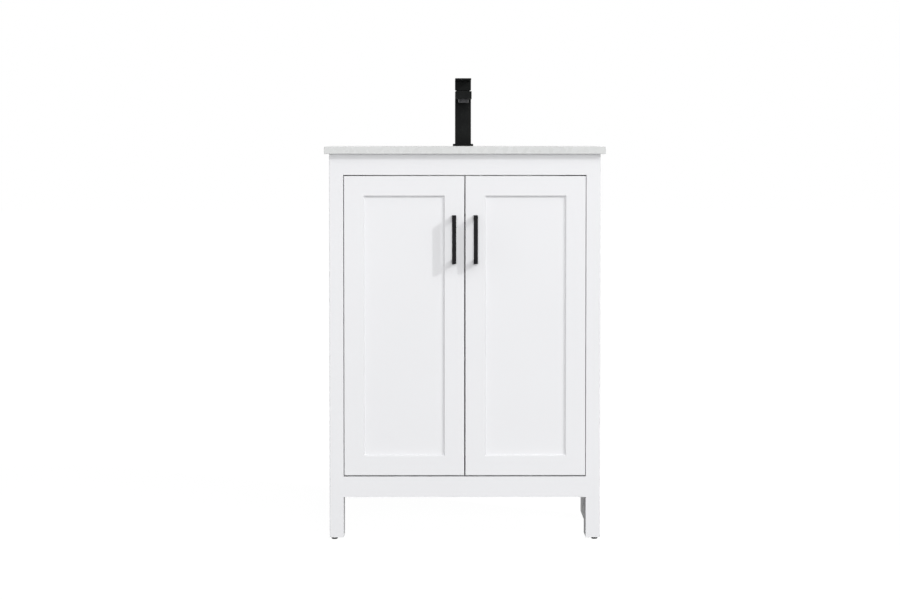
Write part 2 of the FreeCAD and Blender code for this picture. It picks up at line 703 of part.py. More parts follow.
def drain_flange():
    """Dished ring in the bowl with a threaded sleeve through the floor."""
    ring = upright(FLANGE_R, 0, DRAIN_Y, BASIN_FLOOR, BASIN_FLOOR + FLANGE_THICK)
    ring = ring.makeFillet(1.4, [e for e in ring.Edges if e.Closed and e.CenterOfMass.z > BASIN_FLOOR + 1])
    sleeve = upright(SLEEVE_R, 0, DRAIN_Y, BASIN_FLOOR - SLEEVE_LENGTH, BASIN_FLOOR + 1)
    bore = upright(SLEEVE_BORE_R, 0, DRAIN_Y, BASIN_FLOOR - SLEEVE_LENGTH - 1, BASIN_FLOOR + FLANGE_THICK + 1)
    return ring.fuse(sleeve).cut(bore)


def drain_gasket():
    under = BASIN_FLOOR - BASIN_WALL
    gasket = drain_ring(SLEEVE_R + 10, SLEEVE_R, under - GASKET_THICK, under)
    lower_rim = [e for e in gasket.Edges
                 if e.Closed and e.CenterOfMass.z < under - 5 and e.Curve.Radius > SLEEVE_R + 5]
    return gasket.makeChamfer(3, lower_rim)


def drain_nut():
    """Ring nut with eight grip ribs."""
    top = BASIN_FLOOR - BASIN_WALL - GASKET_THICK
    low = top - DRAIN_NUT_HEIGHT
    nut = drain_ring(SLEEVE_R + 8, SLEEVE_R, low, top)
    clear = upright(SLEEVE_R + 4, 0, DRAIN_Y, low - 1, top + 1)
    reach = SLEEVE_R + 9
    for k in range(8):
        angle = math.radians(45 * k)
        rib = upright(3, reach * math.cos(angle), DRAIN_Y + reach * math.sin(angle), low, top)
        nut = nut.fuse(rib.cut(clear))
    return nut


def drain_tailpiece():
    """Socket collar on the sleeve's end, narrowing to the tail tube."""
    join = BASIN_FLOOR - SLEEVE_LENGTH
    collar = upright(SLEEVE_R + 3, 0, DRAIN_Y, join - 8, join + 12)
    tube = upright(TAIL_R, 0, DRAIN_Y, TAIL_LOW, join)
    inside = upright(TAIL_BORE_R, 0, DRAIN_Y, TAIL_LOW - 1, join + 13).fuse(
        upright(SLEEVE_R, 0, DRAIN_Y, join, join + 13))
    return collar.fuse(tube).cut(inside)


def stopper_guide():
    """Three-arm spider in the sleeve that guides the stopper's stem."""
    high = BASIN_FLOOR - 18
    low = high - 12
    spider = upright(STEM_R + 2.5, 0, DRAIN_Y, low, high)
    for k in range(3):
        arm = Part.makeBox(SLEEVE_BORE_R, 2.4, high - low, Vector(0, DRAIN_Y - 1.2, low))
        arm.rotate(Vector(0, DRAIN_Y, 0), Z_AXIS, 120 * k)
        spider = spider.fuse(arm)
    spider = spider.common(upright(SLEEVE_BORE_R, 0, DRAIN_Y, low, high))
    return spider.cut(upright(STEM_R + STEM_GAP, 0, DRAIN_Y, low - 1, high + 1)).removeSplitter()


def drain_stopper():
    """Domed cap over the drain on a stem."""
    low = BASIN_FLOOR + FLANGE_THICK + STOPPER_GAP
    cap = upright(STOPPER_R, 0, DRAIN_Y, low, low + STOPPER_THICK)
    cap = cap.makeFillet(2.4, [e for e in cap.Edges if e.Closed and e.CenterOfMass.z > low + 1])
    plug = upright(SLEEVE_BORE_R - 1.5, 0, DRAIN_Y, low - 5, low)
    stem = upright(STEM_R, 0, DRAIN_Y, BASIN_FLOOR - 44, low)
    return cap.fuse(plug).fuse(stem)


# ---- basin mixer ----

def square_column(width, low, high, middle=MIXER_Y):
    half = width / 2
    return box(-half, middle - half, low, half, middle + half, high)


def mixer_base_plate():
    plate = square_column(MIXER_PLATE, COUNTER_TOP, COUNTER_TOP + MIXER_PLATE_THICK)
    eased = edges_along(plate, Z_AXIS)
    for axis in (X_AXIS, Y_AXIS):
        eased += edges_along(plate, axis, lambda m: m.z > COUNTER_TOP + 1)
    plate = plate.makeFillet(MIXER_EASE, eased)
    return plate.cut(upright(SHANK_R, 0, MIXER_Y, COUNTER_TOP - 1, COUNTER_TOP + MIXER_PLATE_THICK + 1))


def mixer_column():
    column = square_column(MIXER_WIDTH, COUNTER_TOP + MIXER_PLATE_THICK, SPOUT_TOP)
    front = MIXER_Y - MIXER_WIDTH / 2
    rear_top = edges_along(column, X_AXIS, lambda m: m.z > SPOUT_TOP - 1 and m.y > front + 1)
    return column.makeFillet(MIXER_EASE, edges_along(column, Z_AXIS) + rear_top)


def mixer_spout():
    """Square arm from the column's front, with a socket for the aerator."""
    half = MIXER_WIDTH / 2
    root = MIXER_Y - half
    tip = root - SPOUT_LENGTH
    arm = box(-half, tip, SPOUT_TOP - SPOUT_HEIGHT, half, root, SPOUT_TOP)
    eased = edges_along(arm, Y_AXIS)
    for axis in (X_AXIS, Z_AXIS):
        eased += edges_along(arm, axis, lambda m: m.y < tip + 1)
    arm = arm.makeFillet(MIXER_EASE, eased)
    low = SPOUT_TOP - SPOUT_HEIGHT
    return arm.cut(upright(AERATOR_R, 0, tip + half, low - 1, low + 6))


def mixer_aerator():
    y = MIXER_Y - SPOUT_LENGTH
    low = SPOUT_TOP - SPOUT_HEIGHT
    barrel = upright(AERATOR_R, 0, y, low - AERATOR_DROP, low + 6)
    rim = [e for e in barrel.Edges if e.Closed and e.CenterOfMass.z < low - AERATOR_DROP + 1]
    barrel = barrel.makeFillet(AERATOR_ROUND, rim)
    return barrel.cut(upright(AERATOR_BORE_R, 0, y, low - AERATOR_DROP - 1, low + 2))


def lever_pivot():
    return Vector(0, MIXER_Y + LEVER_PIVOT_Y, SPOUT_TOP + NECK_HEIGHT + LEVER_PIVOT_UP)


def mixer_neck():
    """Swivelling plate on the column, with a lug and pin for the lever."""
    low = SPOUT_TOP + NECK_GAP
    top = SPOUT_TOP + NECK_HEIGHT
    pivot = lever_pivot()
    half = MIXER_WIDTH / 2 - NECK_INSET
    plate = box(-half, MIXER_Y - half, low, half, pivot.y - 1.5, top - NECK_GAP)
    plate = plate.makeFillet(4, edges_along(plate, Z_AXIS))
    lug = box(-LUG_HALF, pivot.y - LUG_HALF - 2, low, LUG_HALF, pivot.y + 0.5, pivot.z)
    eye = rod(3.2, pivot.sub(Vector(LUG_HALF, 0, 0)), pivot.add(Vector(LUG_HALF, 0, 0)))
    pin = rod(1.5, pivot.sub(Vector(10, 0, 0)), pivot.add(Vector(10, 0, 0)))
    return plate.fuse(lug).fuse(eye).fuse(pin).removeSplitter()


def mixer_lever():
    """Block over the neck with a flat lever plate that reaches forward."""
    half = MIXER_WIDTH / 2
    low = SPOUT_TOP + NECK_HEIGHT
    pivot = lever_pivot()
    block = box(-half, MIXER_Y - half, low, half, MIXER_Y + half, LEVER_TOP - LEVER_PLATE_THICK)
    plate = box(-half, MIXER_Y - half - LEVER_REACH, LEVER_TOP - LEVER_PLATE_THICK,
                half, MIXER_Y + half, LEVER_TOP)
    lever = block.fuse(plate).removeSplitter()
    eased = edges_along(lever, Y_AXIS) + edges_along(lever, Z_AXIS)
    eased += edges_along(lever, X_AXIS, lambda m: m.z > low + 1)
    lever = lever.makeFillet(MIXER_EASE, eased)
    pocket = box(-LUG_HALF - 1, pivot.y - 13, low - 1, LUG_HALF + 1, pivot.y + 4, pivot.z + 7)
    bore = rod(1.5 + HINGE_PIN_GAP, pivot.sub(Vector(10.5, 0, 0)), pivot.add(Vector(10.5, 0, 0)))
    return lever.cut(pocket).cut(bore)


def mixer_shank():
    """Shank through the counter's hole, with two ports for supply hoses in its lower end."""
    shank = upright(SHANK_R, 0, MIXER_Y, SHANK_LOW, COUNTER_TOP + MIXER_PLATE_THICK)
    for x in (-PORT_X, PORT_X):
        shank = shank.cut(upright(PORT_R, x, MIXER_Y, SHANK_LOW - 1, SHANK_LOW + PORT_DEPTH))
    return shank


def mixer_washer():
    low = COUNTER_UNDER - WASHER_THICK
    washer = upright(WASHER_R, 0, MIXER_Y, low, COUNTER_UNDER)
    return washer.cut(upright(SHANK_R, 0, MIXER_Y, low - 1, COUNTER_UNDER + 1))


def mixer_nut():
    """Hexagonal nut on the shank."""
    top = COUNTER_UNDER - WASHER_THICK
    nut = hexagon(WASHER_R, 0, MIXER_Y, top - NUT_HEIGHT, top)
    return nut.cut(upright(SHANK_R, 0, MIXER_Y, top - NUT_HEIGHT - 1, top + 1))


def write_cabinet():
    save("front_left_leg", front_left_leg())
    save("front_right_leg", mirrored(front_left_leg()))
    save("rear_left_leg", rear_left_leg())
    save("rear_right_leg", mirrored(rear_left_leg()))
    save("left_side_panel", left_side_panel())
    save("right_side_panel", mirrored(left_side_panel()))
    save("front_top_rail", front_rail(OPENING_HIGH, TOP_RAIL_HEIGHT))
    save("front_bottom_rail", front_rail(BOTTOM_RAIL_LOW, BOTTOM_RAIL_HEIGHT))
    save("bottom_panel", bottom_panel())
    save("back_top_rail", back_top_rail())
    save("back_panel", back_panel())
    save("back_bottom_rail", back_rail(BOTTOM_RAIL_LOW, BACK_BOTTOM_RAIL_HEIGHT))
    save("corner_blocks", corner_blocks())
    save("shelf", shelf())
    save("shelf_pins", shelf_pins())
    save("leg_glides", leg_glides())


def write_doors():
    """Each door and its fittings on the left, then mirrored to the right."""
    pieces = {
        "door_hinge_stile": [hinge_stile()],
        "door_lock_stile": [lock_stile()],
        "door_top_rail": [door_rail(DOOR_HIGH - DOOR_MEMBER)],
        "door_bottom_rail": [door_rail(DOOR_LOW)],
        "door_panel": [door_panel()],
        "handle": [handle()],
        "handle_screws": handle_screws(),
        "hinge_cups": at_hinges(hinge_cup),
        "hinge_pins": at_hinges(hinge_pin),
        "cup_screws": at_hinges(cup_screws),
    }
    for name, solids in pieces.items():
        save("left_" + name, solids)
        save("right_" + name, [mirrored(solid) for solid in solids])


def write_hinge_fixings():
    """Arms, plates and plate screws of all four hinges, which stay on the posts."""
    makers = {"hinge_arms": hinge_arm, "hinge_plates": hinge_plate, "plate_screws": plate_screws}
    for name, make in makers.items():
        left = at_hinges(make)
        save(name, left + [mirrored(solid) for solid in left])


def write_counter():
    save("countertop", countertop())
    save("basin", basin())
    save("overflow_ring", overflow_ring())
    save("overflow_duct", overflow_duct())
    save("basin_clips", basin_clips())
    save("basin_clip_screws", basin_clip_screws())
    save("drain_flange", drain_flange())
    save("drain_gasket", drain_gasket())
    save("drain_nut", drain_nut())
    save("drain_tailpiece", drain_tailpiece())
    save("stopper_guide", stopper_guide())
    save("drain_stopper", drain_stopper())


def write_mixer():
    save("mixer_base_plate", mixer_base_plate())
    save("mixer_column", mixer_column())
    save("mixer_spout", mixer_spout())
    save("mixer_aerator", mixer_aerator())
    save("mixer_neck", mixer_neck())
    save("mixer_lever", mixer_lever())
    save("mixer_shank", mixer_shank())
    save("mixer_washer", mixer_washer())
    save("mixer_nut", mixer_nut())


os.makedirs("parts", exist_ok=True)
write_cabinet()
write_doors()
write_hinge_fixings()
write_counter()
write_mixer()
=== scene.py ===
import json
import math

import bmesh
import bpy
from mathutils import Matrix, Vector


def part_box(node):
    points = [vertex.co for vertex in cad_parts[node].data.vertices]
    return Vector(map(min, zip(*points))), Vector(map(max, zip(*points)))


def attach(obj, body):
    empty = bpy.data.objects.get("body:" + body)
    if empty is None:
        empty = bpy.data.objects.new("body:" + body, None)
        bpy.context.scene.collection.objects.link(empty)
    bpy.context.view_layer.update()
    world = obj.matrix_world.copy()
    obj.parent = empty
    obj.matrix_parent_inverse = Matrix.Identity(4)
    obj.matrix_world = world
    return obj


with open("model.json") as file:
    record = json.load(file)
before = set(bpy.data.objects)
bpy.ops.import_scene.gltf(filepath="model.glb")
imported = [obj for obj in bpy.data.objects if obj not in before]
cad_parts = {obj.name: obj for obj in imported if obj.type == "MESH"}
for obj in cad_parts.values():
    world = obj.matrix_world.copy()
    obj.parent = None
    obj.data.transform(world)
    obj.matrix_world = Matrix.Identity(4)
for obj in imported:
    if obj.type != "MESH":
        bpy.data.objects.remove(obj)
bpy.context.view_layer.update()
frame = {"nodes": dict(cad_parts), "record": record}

NODES = frame["nodes"]
EDGE_ROUNDING = 0.0004
SHARP_ANGLE = 40
EASED = (
    "front_left_leg", "front_right_leg", "rear_left_leg", "rear_right_leg", "left_side_panel",
    "right_side_panel", "front_top_rail", "front_bottom_rail", "bottom_panel", "back_top_rail",
    "back_bottom_rail", "back_panel", "shelf", "corner_blocks")


# ---- camera, lights and surroundings ----

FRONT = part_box("front_top_rail")[0].y            # the cabinet's front plane
CAMERA_DISTANCE = 6.6
CAMERA_X = -0.069
CAMERA_Z = 0.8805
AIM = Vector((-0.0322, FRONT, 0.5271))
LENS = 121.69
SENSOR_WIDTH = 36.0
LAMP_AIM = (0.0, FRONT, 0.6)

# Strength of the sky, from straight down (0) over the horizon (0.5) to straight up (1).
WORLD_HEIGHTS = ((0.0, 0.05), (0.46, 0.08), (0.48, 0.26), (0.55, 0.28), (0.66, 0.58), (1.0, 0.45))
WORLD_FRONT = 1.3                  # times more from the upper front
WORLD_RIGHT = 0.8                  # less from the side of the key light
WORLD_REAR = 2.4                   # times more from behind, for the back and the counter's top

FLOOR_REACH = 40.0
FLOOR_ALBEDO = 0.14
FLOOR_GLOW = 0.985
BOUNCE_HEIGHT = 0.0003
BOUNCE_ALBEDO = 0.20
WALL_SIDES = 48
WALL_RADIUS = 30.0
WALL_LOW, WALL_HIGH = -1.0, 30.0


def make_camera():
    data = bpy.data.cameras.new("camera")
    data.lens = LENS
    data.sensor_width = SENSOR_WIDTH
    camera = bpy.data.objects.new("camera", data)
    bpy.context.collection.objects.link(camera)
    camera.location = (CAMERA_X, FRONT - CAMERA_DISTANCE, CAMERA_Z)
    camera.rotation_euler = (AIM - camera.location).to_track_quat("-Z", "Y").to_euler()
    bpy.context.scene.camera = camera


def make_sun(name, towards, strength, degrees):
    """Sun lamp; towards is the direction from the object to the lamp."""
    data = bpy.data.lights.new(name, "SUN")
    data.energy = strength
    data.angle = math.radians(degrees)
    lamp = bpy.data.objects.new(name, data)
    bpy.context.collection.objects.link(lamp)
    lamp.rotation_euler = Vector(towards).to_track_quat("Z", "Y").to_euler()
    return lamp


def make_softbox(name, place, width, height, watts):
    """Rectangular lamp that faces the cabinet's front."""
    data = bpy.data.lights.new(name, "AREA")
    data.shape = "RECTANGLE"
    data.size = width
    data.size_y = height
    data.energy = watts
    lamp = bpy.data.objects.new(name, data)
    bpy.context.collection.objects.link(lamp)
    lamp.location = place
    lamp.rotation_euler = (Vector(place) - Vector(LAMP_AIM)).to_track_quat("Z", "Y").to_euler()
    return lamp


def make_lamps():
    """Key light from the upper right, a softbox beside it and a broad fill from the front."""
    key = make_sun("key", towards=(0.665, -0.600, 0.455), strength=0.90, degrees=2.2)
    softbox = make_softbox("softbox", place=(1.5, -3.0, 2.7), width=3.0, height=2.2, watts=35)
    front_fill = make_softbox("front_fill", place=(0.0, -7.2, 1.2), width=1.6, height=1.2, watts=276)
    for lamp in (key, softbox, front_fill):
        lamp.visible_glossy = False              # no glare off the counter


def remapped(tree, value, from_low, from_high, to_low, to_high):
    """World value taken from one range to another and held at its ends."""
    made = tree.nodes.new("ShaderNodeMapRange")
    limits = (("From Min", from_low), ("From Max", from_high), ("To Min", to_low), ("To Max", to_high))
    for name, number in limits:
        made.inputs[name].default_value = number
    tree.links.new(value, made.inputs["Value"])
    return made.outputs["Result"]


def combined(tree, operation, first, second):
    """Result of an arithmetic operation on two world values."""
    made = tree.nodes.new("ShaderNodeMath")
    made.operation = operation
    tree.links.new(first, made.inputs[0])
    tree.links.new(second, made.inputs[1])
    return made.outputs["Value"]


def make_world():
    """Studio sky: soft light from all round, dim below the horizon, with a white patch straight behind."""
    world = bpy.data.worlds.new("studio")
    bpy.context.scene.world = world
    world.use_nodes = True
    tree = world.node_tree
    tree.nodes.clear()
    out = tree.nodes.new("ShaderNodeOutputWorld")
    back = tree.nodes.new("ShaderNodeBackground")
    back.inputs["Color"].default_value = (1, 1, 1, 1)
    coord = tree.nodes.new("ShaderNodeTexCoord")
    split = tree.nodes.new("ShaderNodeSeparateXYZ")
    tree.links.new(coord.outputs["Generated"], split.inputs[0])
    x, y, z = split.outputs
    ramp = tree.nodes.new("ShaderNodeValToRGB")
    elements = ramp.color_ramp.elements
    for _ in WORLD_HEIGHTS[2:]:
        elements.new(0.5)
    for element, (position, value) in zip(elements, WORLD_HEIGHTS):
        element.position = position
        element.color = (value, value, value, 1)
    tree.links.new(remapped(tree, z, -1.0, 1.0, 0.0, 1.0), ramp.inputs["Fac"])
    upper_front = remapped(tree, combined(tree, "MULTIPLY", y, z), -0.45, -0.05, WORLD_FRONT, 1.0)
    sky = combined(tree, "MULTIPLY", ramp.outputs["Color"], upper_front)
    sky = combined(tree, "MULTIPLY", sky, remapped(tree, x, 0.1, 0.9, 1.0, WORLD_RIGHT))
    sky = combined(tree, "MULTIPLY", sky, remapped(tree, y, 0.05, 0.5, 1.0, WORLD_REAR))
    backdrop = remapped(tree, y, 0.92, 0.97, 0.0, 1.0)
    tree.links.new(combined(tree, "MAXIMUM", sky, backdrop), back.inputs["Strength"])
    tree.links.new(back.outputs[0], out.inputs["Surface"])


def make_stage_surface(name, corners, faces, albedo, glow):
    """Plain surface of the studio's set."""
    mesh = bpy.data.meshes.new(name)
    mesh.from_pydata(corners, [], faces)
    plane = bpy.data.objects.new(name, mesh)
    bpy.context.collection.objects.link(plane)
    material = bpy.data.materials.new(name)
    material.use_nodes = True
    shader = material.node_tree.nodes["Principled BSDF"]
    shader.inputs["Base Color"].default_value = (albedo, albedo, albedo, 1)
    shader.inputs["Roughness"].default_value = 0.9
    shader.inputs["Specular IOR Level"].default_value = 0.0
    shader.inputs["Emission Color"].default_value = (1, 1, 1, 1)
    shader.inputs["Emission Strength"].default_value = glow
    mesh.materials.append(material)
    return plane


def make_stage_plane(name, height, albedo, glow):
    """Wide level plane of the studio's set."""
    signs = ((-1, -1), (1, -1), (1, 1), (-1, 1))
    corners = [(x * FLOOR_REACH, y * FLOOR_REACH, height) for x, y in signs]
    return make_stage_surface(name, corners, [(0, 1, 2, 3)], albedo, glow)


def make_backdrop():
    """White wall all round, far off, that lets all light through."""
    corners = []
    for k in range(WALL_SIDES):
        angle = 2 * math.pi * k / WALL_SIDES
        for z in (WALL_LOW, WALL_HIGH):
            corners.append((WALL_RADIUS * math.cos(angle), WALL_RADIUS * math.sin(angle), z))
    around = 2 * WALL_SIDES
    faces = [(2 * k, (2 * k + 2) % around, (2 * k + 3) % around, 2 * k + 1) for k in range(WALL_SIDES)]
    wall = make_stage_surface("studio_wall", corners, faces, albedo=0.0, glow=1.0)
    wall.visible_diffuse = False
    wall.visible_glossy = False
    wall.visible_transmission = False
    wall.visible_shadow = False


def make_floor():
    """White floor, and a plane just above it that only passes on the light that falls there."""
    floor = make_stage_plane("studio_floor", 0.0, FLOOR_ALBEDO, FLOOR_GLOW)
    floor.visible_diffuse = False
    floor.visible_glossy = False
    bounce = make_stage_plane("studio_bounce", BOUNCE_HEIGHT, BOUNCE_ALBEDO, 0.0)
    bounce.visible_camera = False
    bounce.visible_glossy = False
    bounce.visible_transmission = False
    bounce.visible_shadow = False


# ---- materials ----

class Builder:
    """A material's node tree with short helpers."""

    def __init__(self, name, roughness, metallic=0.0, specular=0.5):
        self.material = bpy.data.materials.new(name)
        self.material.use_nodes = True
        self.tree = self.material.node_tree
        self.shader = self.tree.nodes["Principled BSDF"]
        self.shader.inputs["Roughness"].default_value = roughness
        self.shader.inputs["Metallic"].default_value = metallic
        self.shader.inputs["Specular IOR Level"].default_value = specular
        self.coords = self.tree.nodes.new("ShaderNodeTexCoord").outputs["Object"]

    def node(self, kind, **settings):
        made = self.tree.nodes.new("ShaderNode" + kind)
        for key, value in settings.items():
            setattr(made, key, value)
        return made

    def link(self, output, target):
        self.tree.links.new(output, target)

    def mapped(self, scale):
        mapping = self.node("Mapping")
        mapping.inputs["Scale"].default_value = scale
        self.link(self.coords, mapping.inputs["Vector"])
        return mapping.outputs["Vector"]

    def noise(self, scale, detail=3.0, stretch=(1, 1, 1)):
        made = self.node("TexNoise")
        made.inputs["Scale"].default_value = scale
        made.inputs["Detail"].default_value = detail
        self.link(self.mapped(stretch), made.inputs["Vector"])
        return made.outputs["Fac"]

    def cells(self, scale):
        """Distance to the middle of the nearest cell."""
        made = self.node("TexVoronoi")
        made.inputs["Scale"].default_value = scale
        self.link(self.coords, made.inputs["Vector"])
        return made.outputs["Distance"]

    def ramp(self, fac, first, last):
        """Colour ramp between two (position, colour) stops."""
        made = self.node("ValToRGB")
        for element, (position, colour) in zip(made.color_ramp.elements, (first, last)):
            element.position = position
            element.color = (*colour, 1)
        self.link(fac, made.inputs["Fac"])
        return made.outputs["Color"]

    def spread(self, fac, low, high, from_low=0.3, from_high=0.7):
        """Value that varies between low and high as fac goes over its range."""
        made = self.node("MapRange")
        limits = (("From Min", from_low), ("From Max", from_high), ("To Min", low), ("To Max", high))
        for name, value in limits:
            made.inputs[name].default_value = value
        self.link(fac, made.inputs["Value"])
        return made.outputs["Result"]

    def mix(self, fac, below, tone):
        """A plain tone laid over a colour as much as fac says."""
        made = self.node("Mix", data_type="RGBA")
        factor, first, second = made.inputs[0], made.inputs[6], made.inputs[7]
        self.link(fac, factor)
        self.link(below, first)
        second.default_value = (*tone, 1)
        return made.outputs[2]

    def bump(self, height, strength, distance, below=None):
        made = self.node("Bump")
        made.inputs["Strength"].default_value = strength
        made.inputs["Distance"].default_value = distance
        self.link(height, made.inputs["Height"])
        if below is not None:
            self.link(below, made.inputs["Normal"])
        return made.outputs["Normal"]

    def finish(self, colour, roughness, normal):
        for name, output in (("Base Color", colour), ("Roughness", roughness), ("Normal", normal)):
            self.link(output, self.shader.inputs[name])
        return self.material


def lacquer(name, tone, roughness):
    """Sprayed lacquer: faint orange peel, slight tone drift and a softly varied sheen."""
    b = Builder(name, roughness, specular=0.12)
    drift = b.noise(3.0, 2.0)
    fine = b.noise(160.0, 2.0)
    peel = b.noise(420.0, 2.0)
    darker = tuple(value * 0.985 for value in tone)
    colour = b.ramp(drift, (0.35, darker), (0.65, tone))
    colour = b.mix(b.spread(fine, 0.0, 0.35), colour, tuple(value * 0.99 for value in tone))
    sheen = b.spread(b.noise(24.0), roughness - 0.04, roughness + 0.05)
    normal = b.bump(peel, 0.06, 0.0004)
    normal = b.bump(drift, 0.04, 0.004, normal)
    return b.finish(colour, sheen, normal)


def quartz():
    """Pale engineered stone: soft clouding with fine grey and white chips."""
    b = Builder("engineered_stone", 0.22, specular=0.5)
    clouds = b.noise(9.0, 4.0)
    colour = b.ramp(clouds, (0.32, (0.549, 0.557, 0.553)), (0.68, (0.579, 0.586, 0.582)))
    grains = b.cells(900.0)
    colour = b.mix(b.spread(grains, 0.14, 0.0, 0.02, 0.16), colour, (0.45, 0.45, 0.44))
    chips = b.cells(420.0)
    colour = b.mix(b.spread(chips, 0.14, 0.0, 0.03, 0.14), colour, (0.72, 0.73, 0.72))
    sheen = b.spread(b.noise(60.0), 0.24, 0.31)
    return b.finish(colour, sheen, b.bump(clouds, 0.01, 0.0005))


def glaze():
    """Vitreous glaze: clear gloss over white with very slight ripple."""
    b = Builder("basin_ceramic", 0.08, specular=0.6)
    b.shader.inputs["Coat Weight"].default_value = 0.6
    b.shader.inputs["Coat Roughness"].default_value = 0.03
    ripple = b.noise(14.0, 2.0)
    pits = b.noise(260.0, 2.0)
    colour = b.ramp(ripple, (0.35, (0.765, 0.77, 0.765)), (0.65, (0.79, 0.792, 0.785)))
    return b.finish(colour, b.spread(pits, 0.06, 0.13), b.bump(ripple, 0.10, 0.0015))


def black_coat(name, tone, roughness):
    """Matte powder coat: fine grain in the surface and in the sheen."""
    b = Builder(name, roughness, specular=0.03)
    grain = b.noise(1500.0, 3.0)
    cloud = b.noise(40.0, 3.0)
    colour = b.ramp(cloud, (0.35, tone), (0.65, tuple(value * 1.35 for value in tone)))
    sheen = b.spread(grain, roughness - 0.06, roughness + 0.08)
    normal = b.bump(grain, 0.16, 0.00025)
    normal = b.bump(cloud, 0.05, 0.0005, normal)
    return b.finish(colour, sheen, normal)


def board():
    """Melamine-faced board with a fine pressed pore texture."""
    b = Builder("interior_board", 0.48, specular=0.4)
    pores = b.noise(520.0, 3.0, (1, 0.18, 1))
    drift = b.noise(4.0)
    colour = b.ramp(drift, (0.35, (0.715, 0.725, 0.735)), (0.65, (0.74, 0.748, 0.755)))
    colour = b.mix(b.spread(pores, 0.25, 0.0, 0.25, 0.5), colour, (0.66, 0.665, 0.67))
    return b.finish(colour, b.spread(pores, 0.42, 0.55), b.bump(pores, 0.12, 0.0004))


def bare_wood():
    """Planed softwood with growth rings along X."""
    b = Builder("bare_wood", 0.65, specular=0.25)
    rings = b.node("TexWave", wave_type="BANDS", bands_direction="Y")
    rings.inputs["Scale"].default_value = 60.0
    rings.inputs["Distortion"].default_value = 6.0
    rings.inputs["Detail"].default_value = 3.0
    b.link(b.mapped((0.15, 1, 1)), rings.inputs["Vector"])
    fibre = b.noise(600.0, 3.0, (0.05, 1, 1))
    colour = b.ramp(rings.outputs["Fac"], (0.2, (0.62, 0.45, 0.27)), (0.8, (0.74, 0.59, 0.40)))
    colour = b.mix(b.spread(fibre, 0.35, 0.0), colour, (0.52, 0.36, 0.20))
    return b.finish(colour, b.spread(fibre, 0.55, 0.75), b.bump(fibre, 0.25, 0.0004))


def chrome():
    """Polished plate with faint haze."""
    b = Builder("chrome_trim", 0.07, metallic=1.0)
    haze = b.noise(120.0, 2.0)
    colour = b.ramp(haze, (0.3, (0.70, 0.71, 0.73)), (0.7, (0.76, 0.77, 0.78)))
    return b.finish(colour, b.spread(haze, 0.05, 0.12), b.bump(haze, 0.02, 0.0004))


def plated_steel():
    """Nickel-plated pressed steel with drawn brush lines."""
    b = Builder("plated_steel", 0.3, metallic=1.0)
    lines = b.noise(700.0, 3.0, (1, 1, 0.04))
    spots = b.noise(90.0, 3.0)
    colour = b.ramp(spots, (0.3, (0.50, 0.50, 0.49)), (0.7, (0.62, 0.62, 0.60)))
    return b.finish(colour, b.spread(lines, 0.22, 0.42), b.bump(lines, 0.12, 0.0002))


def brass():
    """Turned brass with fine lathe lines and slight stains."""
    b = Builder("shank_brass", 0.3, metallic=1.0)
    lathe = b.noise(900.0, 2.0, (0.05, 0.05, 1))
    stain = b.noise(70.0, 3.0)
    colour = b.ramp(stain, (0.3, (0.58, 0.40, 0.16)), (0.7, (0.72, 0.53, 0.25)))
    return b.finish(colour, b.spread(stain, 0.25, 0.42), b.bump(lathe, 0.12, 0.0002))


def plastic(name, tone, roughness):
    """Moulded plastic with a fine spark-eroded grain."""
    b = Builder(name, roughness, specular=0.4)
    grain = b.noise(1100.0, 2.0)
    drift = b.noise(45.0, 2.0)
    colour = b.ramp(drift, (0.3, tuple(value * 0.93 for value in tone)), (0.7, tone))
    sheen = b.spread(grain, roughness - 0.05, roughness + 0.08)
    return b.finish(colour, sheen, b.bump(grain, 0.12, 0.0002))


def make_materials():
    return {
        "white_paint": lacquer("white_paint", (0.692, 0.694, 0.708), 0.42),
        "interior_board": board(),
        "bare_wood": bare_wood(),
        "engineered_stone": quartz(),
        "basin_ceramic": glaze(),
        "chrome_trim": chrome(),
        "drain_plastic": plastic("drain_plastic", (0.72, 0.72, 0.70), 0.42),
        "seal_rubber": plastic("seal_rubber", (0.020, 0.020, 0.020), 0.72),
        "aerator_plastic": plastic("aerator_plastic", (0.045, 0.045, 0.048), 0.34),
        "glide_plastic": plastic("glide_plastic", (0.030, 0.030, 0.032), 0.5),
        "mixer_black": black_coat("mixer_black", (0.0092, 0.0097, 0.0096), 0.42),
        "handle_black": black_coat("handle_black", (0.0136, 0.0132, 0.0142), 0.45),
        "shank_brass": brass(),
        "plated_steel": plated_steel(),
    }


def dress_nodes(materials):
    """Each carried-over CAD node gets its slot's material."""
    slots = {part["node"]: part["material_slot"] for part in frame["record"]["subparts"]}
    for name, node in NODES.items():
        node.data.materials.clear()
        node.data.materials.append(materials[slots[name]])


def soften_edges():
    """Small rounding on the sharp edges of the painted and the board pieces."""
    for name in EASED:
        modifier = NODES[name].modifiers.new("soft_edges", "BEVEL")
        modifier.width = EDGE_ROUNDING
        modifier.segments = 2
        modifier.limit_method = "ANGLE"
        modifier.angle_limit = math.radians(SHARP_ANGLE)
        modifier.harden_normals = False


# ---- small pieces ----

CRISP_ANGLE = 38
CAP_GRID = (-1.0, -0.86, -0.62, -0.56, -0.19, -0.13, 0.13, 0.19, 0.56, 0.62, 0.86, 1.0)
CAP_DROP = 0.75                    # how far a screw cap falls towards its rim, as a share of its height
SLOT_HALF, SLOT_REACH = 0.15, 0.6  # the cross recess, as shares of the cap's radius
SLOT_FLOOR = 0.35


